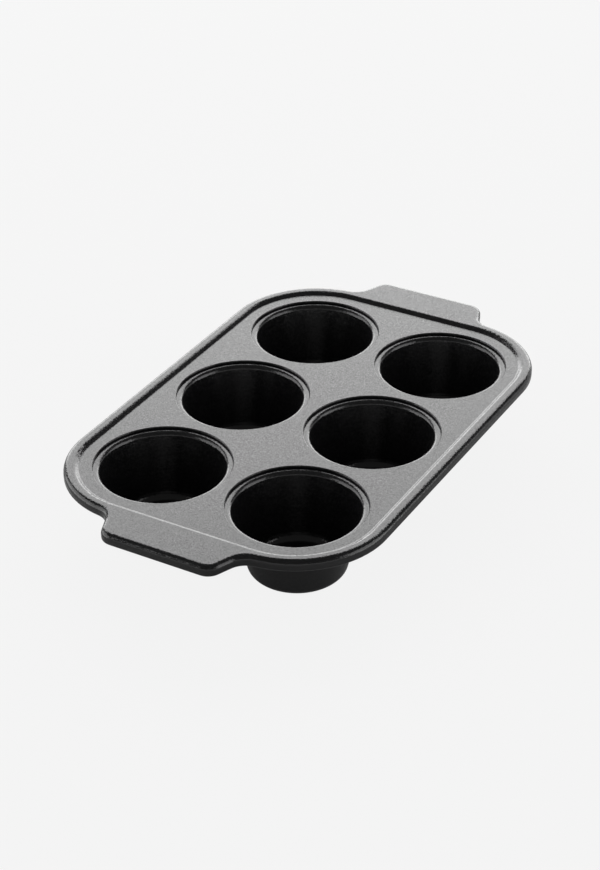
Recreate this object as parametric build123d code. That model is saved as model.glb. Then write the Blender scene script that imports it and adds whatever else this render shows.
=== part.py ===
"""Six-cup popover pan in coated steel sheet, in millimetres.

The deck plate is one stamping: a flat panel with six holes, a raised rim, a grip at each end and
a skirt whose edge is rolled round a steel wire. Each cup is drawn from its own blank, and its
flange is locked into the folded edge of its hole by a flat seam: panel, cup hook, panel hem and
cup flange, one under the other.

+X is the short way across, +Y runs along the pan, +Z is up. The origin is under the middle of the
pan, on the surface that the cups stand on.
"""

import os
from math import atan2, tan

from build123d import *

os.makedirs("parts", exist_ok=True)

# Cups, named by their place in the pan
row_names = ("front", "middle", "back")
column_names = ("left", "right")
cup_depth = 50.6  # top of the panel down to the underside of the floor
mouth_radius = 44.2  # inside of the wall, carried up to the flange
wall_lean = 11.3  # how far the wall closes in on its way down to the floor
floor_bend = 6.6  # inside radius between floor and wall
mouth_bend = 3.3  # radius that the batter meets between flange and wall

# Sheets, wire and the play left between pressed layers
deck_sheet = 0.65
cup_sheet = 0.6
wire_diameter = 2.4
wire_play = 0.1  # between the wire and the sheet rolled round it
play = 0.03

# Lock seam round each cup
flange_show = 4.3  # from the mouth to the edge of the panel's hole
seam_hold = 2.2  # how far the cup's hook and the panel's hem reach over each other
seam_end_gap = 0.25  # from each free edge to the fold that it faces
seam_spacing = 1.6  # between the seams of neighbouring cups

# Raised rim, from the outermost seams outward
panel_margin = 4.85  # seam to the foot of the slope
end_spare = 0.5  # how much further the slope lies from the cups at the two ends
slope_run = 3.0
rim_rise = 2.4
foot_bend = 1.5  # radius where the panel turns up into the slope
crown_bend = 3.6  # radius where the slope levels out into the rim
rim_flat = 2.65  # narrowest level part of the rim
rim_bend = 3.75  # radius where the rim turns down into the skirt
skirt_straight = 2.55
curl_turn = 245.0  # degrees that the sheet goes round the wire

# Grips
grip_reach = 24.6  # beyond the end of the body
grip_tip_width = 85.0
grip_flare = 10.1  # how much further out each side is at the root
grip_tip_radius = 11.0
grip_root_radius = 14.4

# Layers of the seam, from the top down
panel_top = cup_depth
hook_top = panel_top - deck_sheet - play
hook_underside = hook_top - cup_sheet
hem_underside = hook_underside - play - deck_sheet
flange_top = hem_underside - play

# Folds and free edges of the seam, from the hole outward
ring_radius = mouth_radius + flange_show
hook_end = ring_radius + deck_sheet + seam_end_gap
hem_end = hook_end + seam_hold
cup_fold = hem_end + seam_end_gap
seam_radius = cup_fold + cup_sheet

# Spacing of the cups, and half the distance between the centres of the outer ones
cup_pitch = 2 * seam_radius + seam_spacing
half_across = cup_pitch * (len(column_names) - 1) / 2
half_along = cup_pitch * (len(row_names) - 1) / 2

# Corners of the body, and its slope, rim and skirt measured out from them
corner_along = half_along + end_spare
half_slope_angle = atan2(rim_rise, slope_run) / 2
foot_tangent = foot_bend * tan(half_slope_angle)
crown_tangent = crown_bend * tan(half_slope_angle)
slope_foot = seam_radius + panel_margin
slope_head = slope_foot + slope_run
rim_reach = slope_head + crown_tangent + rim_flat + rim_bend
rim_top = panel_top + rim_rise

# Rolled edge
curl_radius = wire_diameter / 2 + wire_play + deck_sheet
curl_height = rim_top - rim_bend - skirt_straight

# Each formed strip runs this far onto the flat sheet beside it
lap = deck_sheet / 2


def folded(face, bends, sheet):
    """Section of a folded sheet, from the points and bend radii of the face on its left."""
    corners = [Vector(*point) for point in face]
    steps = [(end - start).normalized() for start, end in zip(corners, corners[1:])]
    across = [Vector(step.Y, -step.X) * sheet for step in steps]
    far_corners = [corners[0] + across[0]]
    far_bends = []
    for corner, bend, before, after in zip(corners[1:], bends, across, across[1:]):
        opening = 1 + before.dot(after) / sheet**2
        far_corners.append(corner + (before + after) / opening)
        turns_left = before.cross(after).Z > 0
        far_bends.append(bend + sheet if turns_left else max(bend - sheet, 0))
    far_corners.append(corners[-1] + across[-1])
    with BuildSketch() as section:
        with BuildLine():
            near = FilletPolyline(*corners, radius=bends)
            far = FilletPolyline(*far_corners, radius=far_bends)
            Line(near @ 0, far @ 0)
            Line(near @ 1, far @ 1)
        make_face()
    return section.sketch


def turned(section):
    """Solid of revolution of a section whose X is the radius and whose Y is the height."""
    return revolve(Plane.XZ * section, axis=Axis.Z)


def run_round(section, outline):
    """Solid that a section makes round an outline, with the section's X pointing outward."""
    path = outline.face().outer_wire()
    start = path @ 0
    outward = (path % 0).cross(Vector(Axis.Z.direction))
    if outward.dot(start) < 0:
        outward = -outward
    station = Plane(origin=start, x_dir=outward, z_dir=outward.cross(Vector(Axis.Z.direction)))
    return sweep(station * section, path=path)


def sheet_at(outline, top):
    """Flat deck sheet with the given outline and top."""
    return Pos(Z=top - deck_sheet) * extrude(outline, deck_sheet)


def body_outline(reach):
    """Rounded rectangle that runs round the outer cups at one distance."""
    return RectangleRounded(2 * (half_across + reach), 2 * (corner_along + reach), reach)


def rim_outline(inset):
    """Outline of the body with its two grips, drawn in by an inset."""
    root_x = grip_tip_width / 2 + grip_flare
    tip_x = grip_tip_width / 2
    root_y = corner_along + rim_reach
    tip_y = root_y + grip_reach
    right_side = [(root_x, -root_y), (root_x, root_y), (tip_x, tip_y)]
    left_side = [(-x, -y) for x, y in right_side]
    grips = make_face(Polyline((tip_x, -tip_y), *right_side, (-tip_x, tip_y), *left_side, close=True))
    tips = [vertex for vertex in grips.vertices() if abs(vertex.Y) > root_y]
    whole = body_outline(rim_reach) + fillet(tips, grip_tip_radius)
    # Growing and shrinking by one radius rounds the roots of the grips and nothing else
    rounded = offset(offset(whole, grip_root_radius), -grip_root_radius)
    return offset(rounded, -inset) if inset else rounded


def cup_places():
    """Name and centre of each cup."""
    places = {}
    for row, row_name in enumerate(row_names):
        for column, column_name in enumerate(column_names):
            centre = (column * cup_pitch - half_across, row * cup_pitch - half_along)
            places[f"cup_{row_name}_{column_name}"] = Location(centre)
    return places


def make_cup():
    """Drawn cup whose flange ends in a hook, folded up and back over the panel's hem."""
    inside = [
        (0, cup_sheet),
        (mouth_radius - wall_lean, cup_sheet),
        (mouth_radius, flange_top),
        (cup_fold, flange_top),
        (cup_fold, hook_underside),
        (hook_end, hook_underside),
    ]
    return turned(folded(inside, [floor_bend, mouth_bend, 0, 0], cup_sheet))


def make_hem():
    """Edge of a hole in the panel, folded down and back out under the cup's hook."""
    outside = [
        (hem_end, hem_underside),
        (ring_radius, hem_underside),
        (ring_radius, panel_top),
        (hem_end + lap, panel_top),
    ]
    return turned(folded(outside, [deck_sheet, deck_sheet], deck_sheet))


def make_slope():
    """Slope from the panel up to the raised rim."""
    upper = [
        (-foot_tangent - lap, panel_top),
        (0, panel_top),
        (slope_run, rim_top),
        (slope_run + crown_tangent + lap, rim_top),
    ]
    return run_round(folded(upper, [foot_bend, crown_bend], deck_sheet), body_outline(slope_foot))


def skirt_line(inset):
    """Line of the rim, skirt and rolled edge, this far in from the outer face of the sheet."""
    flat_end = (-rim_bend - lap, rim_top - inset)
    shoulder = (-inset, rim_top - inset)
    foot = (-inset, curl_height)
    side = FilletPolyline(flat_end, shoulder, foot, radius=rim_bend - inset)
    return side + JernArc(foot, side % 1, curl_radius - inset, -curl_turn)


def make_skirt():
    """Turned-down edge of the rim, rolled inward round the wire."""
    outer = skirt_line(0)
    inner = skirt_line(deck_sheet)
    ends = Line(outer @ 0, inner @ 0) + Line(outer @ 1, inner @ 1)
    return run_round(make_face(outer + inner + ends), rim_outline(0))


def make_deck():
    """Panel, slope, rim, grips and skirt in one sheet, with a hemmed hole for each cup."""
    panel = body_outline(slope_foot - foot_tangent)
    for place in cup_places().values():
        panel -= place * Circle(hem_end)
    rim = rim_outline(rim_bend) - body_outline(slope_head + crown_tangent)
    deck = sheet_at(panel, panel_top) + make_slope() + sheet_at(rim, rim_top) + make_skirt()
    hem = make_hem()
    for place in cup_places().values():
        deck += place * hem
    return deck


def make_wire():
    """Steel wire inside the rolled edge, its ends butted."""
    return run_round(Pos(Y=curl_height) * Circle(wire_diameter / 2), rim_outline(curl_radius))


parts = {"deck_plate": make_deck(), "rim_wire": make_wire()}
cup = make_cup()
for name, place in cup_places().items():
    parts[name] = place * cup

for name, solid in parts.items():
    export_step(solid, f"parts/{name}.step")
    print(name, round(solid.volume), "mm3")
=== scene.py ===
"""Looks of the six-cup popover pan: its satin coating, a pale studio floor, light and camera."""

from math import cos, pi, radians, sin, tan

import bpy
from mathutils import Matrix, Vector

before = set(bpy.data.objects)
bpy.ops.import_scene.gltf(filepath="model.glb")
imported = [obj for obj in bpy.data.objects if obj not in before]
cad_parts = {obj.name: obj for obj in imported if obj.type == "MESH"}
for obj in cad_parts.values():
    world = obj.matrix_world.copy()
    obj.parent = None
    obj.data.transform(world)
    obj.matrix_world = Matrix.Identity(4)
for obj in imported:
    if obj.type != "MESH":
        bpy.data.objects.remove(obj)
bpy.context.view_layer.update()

# Camera: the point that it looks at and its distance in metres, its place and roll in degrees, and
# its lens and sensor in millimetres
aim = Vector((0.01111, -0.02863, 0.0505))
camera_distance = 1.444
camera_azimuth = 30.256
camera_elevation = 31.991
camera_roll = 0.838
lens = 85.0
sensor = 36.0

# Light banks that stand on the floor round the pan: compass from +X, half angle that each fills to
# both sides of its middle, height above the horizon that it reaches, and brightness
bank_distance = 2.5
banks = {
    "back_bank": (118.0, 36.0, 48.0, 3.85),
    "right_bank": (18.0, 26.0, 42.0, 2.0),
    "left_bank": (203.0, 33.0, 42.0, 2.0),
}

# Room: a pale backdrop all round, whose top edge is soft, and an even dim grey above it
backdrop_white = 0.92
backdrop_top = 14.0
backdrop_edge = 2.0
room_grey = 0.15

# Floor, and the shares of its look that take no shadow, as the camera and as the coating see it
floor_half = 30.0
floor_colour = 0.55
floor_roughness = 0.9
floor_white = 0.94
seen_glow_share = 0.93
mirrored_glow_share = 0.05

# Level about which noise varies
noise_middle = 0.5

# Coating: its colour and paler flecks, and how rough it is on average
coating_colour = (0.004, 0.004, 0.0043, 1)
fleck_colour = (0.012, 0.012, 0.0125, 1)
coating_roughness = 0.17

# Flecks: their size in metres, the levels between which they turn pale and between which they turn
# rough, and how far the roughness goes up and down with them
fleck_size = 0.0011
fleck_detail = 0.0
fleck_pale_levels = (0.5, 0.75)
fleck_rough_levels = (0.4, 0.6)
fleck_rough_spread = 0.06

# Smudges, wide patches that are a little more or less rough
smudge_size = 0.06
smudge_detail = 3.0
smudge_levels = (0.3, 0.7)
smudge_rough_spread = 0.02

# Ripple of the sprayed coat, with its depth in metres, and grain, with its lean as a slope
ripple_size = 0.003
ripple_detail = 1.0
ripple_depth = 0.00003
grain_size = 0.0008
grain_detail = 0.0
grain_lean = 0.25

# Wire: its two tones, how rough it is, and the marks of drawing
wire_colour = (0.5, 0.5, 0.51, 1)
wire_dark_colour = (0.36, 0.36, 0.37, 1)
wire_roughness = 0.32
mark_size = 0.0004
mark_detail = 3.0
mark_depth = 0.000004
mark_levels = (0.3, 0.7)
mark_rough_spread = 0.06


def make_camera():
    """Camera at the photograph's angle, distance and lens."""
    azimuth, elevation, roll = map(radians, (camera_azimuth, camera_elevation, camera_roll))
    back = Vector((sin(azimuth) * cos(elevation), -cos(azimuth) * cos(elevation), sin(elevation)))
    right = Vector((cos(azimuth), sin(azimuth), 0))
    up = back.cross(right)
    camera_right = cos(roll) * right - sin(roll) * up
    camera_up = sin(roll) * right + cos(roll) * up
    data = bpy.data.cameras.new("camera")
    data.lens = lens
    data.sensor_width = sensor
    camera = bpy.data.objects.new("camera", data)
    axes = Matrix((camera_right, camera_up, back)).transposed()
    camera.matrix_world = Matrix.Translation(aim + camera_distance * back) @ axes.to_4x4()
    bpy.context.scene.collection.objects.link(camera)
    bpy.context.scene.camera = camera


def new_material(name):
    """Material with nodes, its node tree and its main shader."""
    material = bpy.data.materials.new(name)
    material.use_nodes = True
    return material, material.node_tree, material.node_tree.nodes["Principled BSDF"]


def add_node(tree, kind, **settings):
    """Node of a kind, with its settings."""
    node = tree.nodes.new(kind)
    for key, value in settings.items():
        setattr(node, key, value)
    return node


def add_noise(tree, size, detail):
    """Noise in the object's own frame, whose grains are about this size in metres."""
    place = add_node(tree, "ShaderNodeTexCoord")
    noise = add_node(tree, "ShaderNodeTexNoise")
    noise.inputs["Scale"].default_value = 1 / size
    noise.inputs["Detail"].default_value = detail
    tree.links.new(place.outputs["Object"], noise.inputs["Vector"])
    return noise.outputs


def add_range(tree, source, old_ends, new_ends):
    """Value stretched from one range to another, and held at its ends."""
    node = add_node(tree, "ShaderNodeMapRange", interpolation_type="SMOOTHSTEP")
    for name, value in zip(("From Min", "From Max", "To Min", "To Max"), (*old_ends, *new_ends)):
        node.inputs[name].default_value = value
    tree.links.new(source, node.inputs["Value"])
    return node.outputs["Result"]


def add_share(tree, switch, share):
    """Share that counts where a switch is 1, and nothing where it is 0."""
    return add_range(tree, switch, (0, 1), (0, share))


def add_sum(tree, first, second):
    """Sum of two values."""
    node = add_node(tree, "ShaderNodeMath", operation="ADD")
    tree.links.new(first, node.inputs[0])
    tree.links.new(second, node.inputs[1])
    return node.outputs["Value"]


def add_blend(tree, share, colour, other_colour):
    """Colour that goes over to another one with a share."""
    blend = add_node(tree, "ShaderNodeMix", data_type="RGBA")
    blend.inputs["A"].default_value = colour
    blend.inputs["B"].default_value = other_colour
    tree.links.new(share, blend.inputs["Factor"])
    return blend.outputs["Result"]


def add_bump(tree, height, depth, before=None):
    """Normal of a height map that spans this depth in metres, laid over the one before it."""
    bump = add_node(tree, "ShaderNodeBump")
    bump.inputs["Distance"].default_value = depth
    tree.links.new(height, bump.inputs["Height"])
    if before:
        tree.links.new(before, bump.inputs["Normal"])
    return bump.outputs["Normal"]


def add_grain(tree):
    """Surface normal that leans at random from grain to grain."""
    noise = add_noise(tree, grain_size, grain_detail)
    centred = add_node(tree, "ShaderNodeVectorMath", operation="SUBTRACT")
    tree.links.new(noise["Color"], centred.inputs[0])
    centred.inputs[1].default_value = [noise_middle] * 3
    scaled = add_node(tree, "ShaderNodeVectorMath", operation="SCALE")
    tree.links.new(centred.outputs["Vector"], scaled.inputs[0])
    scaled.inputs["Scale"].default_value = grain_lean
    surface = add_node(tree, "ShaderNodeNewGeometry")
    leaned = add_node(tree, "ShaderNodeVectorMath", operation="ADD")
    tree.links.new(surface.outputs["Normal"], leaned.inputs[0])
    tree.links.new(scaled.outputs["Vector"], leaned.inputs[1])
    unit = add_node(tree, "ShaderNodeVectorMath", operation="NORMALIZE")
    tree.links.new(leaned.outputs["Vector"], unit.inputs[0])
    return unit.outputs["Vector"]


def around(middle, spread):
    """Two ends of a range, by its middle and how far it reaches to both sides."""
    return middle - spread, middle + spread


def make_coating():
    """Near-black satin coating with faint paler flecks, a fine grain and a slight ripple."""
    material, tree, shader = new_material("nonstick_coating_satin")
    fleck = add_noise(tree, fleck_size, fleck_detail)["Fac"]
    smudge = add_noise(tree, smudge_size, smudge_detail)["Fac"]
    ripple = add_noise(tree, ripple_size, ripple_detail)["Fac"]
    paleness = add_range(tree, fleck, fleck_pale_levels, (0, 1))
    colour = add_blend(tree, paleness, coating_colour, fleck_colour)
    tree.links.new(colour, shader.inputs["Base Color"])
    smudged = add_range(tree, smudge, smudge_levels, around(coating_roughness, smudge_rough_spread))
    flecked = add_range(tree, fleck, fleck_rough_levels, around(0, fleck_rough_spread))
    tree.links.new(add_sum(tree, smudged, flecked), shader.inputs["Roughness"])
    tree.links.new(add_bump(tree, ripple, ripple_depth, add_grain(tree)), shader.inputs["Normal"])
    return material


def make_wire_steel():
    """Bare drawn wire with fine marks and uneven brightness."""
    material, tree, shader = new_material("wire_steel_drawn")
    marks = add_noise(tree, mark_size, mark_detail)["Fac"]
    tree.links.new(add_blend(tree, marks, wire_dark_colour, wire_colour), shader.inputs["Base Color"])
    shader.inputs["Metallic"].default_value = 1
    marked = add_range(tree, marks, mark_levels, around(wire_roughness, mark_rough_spread))
    tree.links.new(marked, shader.inputs["Roughness"])
    tree.links.new(add_bump(tree, marks, mark_depth), shader.inputs["Normal"])
    return material


def make_floor():
    """Wide pale floor, mostly of one even tone, with a faint shadow of the pan."""
    mesh = bpy.data.meshes.new("floor")
    signs = ((-1, -1), (1, -1), (1, 1), (-1, 1))
    mesh.from_pydata([(x * floor_half, y * floor_half, 0) for x, y in signs], [], [(0, 1, 2, 3)])
    floor = bpy.data.objects.new("floor", mesh)
    bpy.context.scene.collection.objects.link(floor)
    material, tree, shader = new_material("floor_paper")
    shader.inputs["Base Color"].default_value = (*[floor_colour] * 3, 1)
    shader.inputs["Roughness"].default_value = floor_roughness
    glow = add_node(tree, "ShaderNodeEmission")
    glow.inputs["Color"].default_value = (*[floor_white] * 3, 1)
    path = add_node(tree, "ShaderNodeLightPath").outputs
    mirrored = add_sum(tree, path["Is Glossy Ray"], path["Is Transmission Ray"])
    mirrored_share = add_share(tree, mirrored, mirrored_glow_share)
    seen_share = add_share(tree, path["Is Camera Ray"], seen_glow_share)
    mix = add_node(tree, "ShaderNodeMixShader")
    tree.links.new(add_sum(tree, seen_share, mirrored_share), mix.inputs["Fac"])
    tree.links.new(shader.outputs["BSDF"], mix.inputs[1])
    tree.links.new(glow.outputs["Emission"], mix.inputs[2])
    tree.links.new(mix.outputs["Shader"], tree.nodes["Material Output"].inputs["Surface"])
    mesh.materials.append(material)


def make_room():
    """World with a pale backdrop round the horizon and a dim room above it."""
    world = bpy.data.worlds.new("studio")
    bpy.context.scene.world = world
    world.use_nodes = True
    tree = world.node_tree
    place = add_node(tree, "ShaderNodeTexCoord")
    direction = add_node(tree, "ShaderNodeSeparateXYZ")
    tree.links.new(place.outputs["Generated"], direction.inputs["Vector"])
    edge = [sin(radians(height)) for height in around(backdrop_top, backdrop_edge)]
    level = add_range(tree, direction.outputs["Z"], edge, (backdrop_white, room_grey))
    tree.links.new(level, tree.nodes["Background"].inputs["Color"])


def make_bank(name, azimuth, half_angle, top, brightness):
    """Wide upright light bank that stands on the floor and faces the pan."""
    data = bpy.data.lights.new(name, "AREA")
    data.shape = "RECTANGLE"
    data.size = 2 * bank_distance * tan(radians(half_angle))
    data.size_y = bank_distance * tan(radians(top))
    data.energy = brightness * pi * data.size * data.size_y
    lamp = bpy.data.objects.new(name, data)
    outward = Vector((cos(radians(azimuth)), sin(radians(azimuth)), 0))
    lamp.location = bank_distance * outward + Vector((0, 0, data.size_y / 2))
    lamp.rotation_mode = "QUATERNION"
    lamp.rotation_quaternion = outward.to_track_quat("Z", "Y")
    lamp.visible_camera = False
    bpy.context.scene.collection.objects.link(lamp)


coating = make_coating()
wire_steel = make_wire_steel()
for name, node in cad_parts.items():
    node.data.materials.clear()
    node.data.materials.append(wire_steel if name == "rim_wire" else coating)
make_floor()
make_room()
for name, facts in banks.items():
    make_bank(name, *facts)
make_camera()
bpy.context.scene.view_settings.view_transform = "Standard"
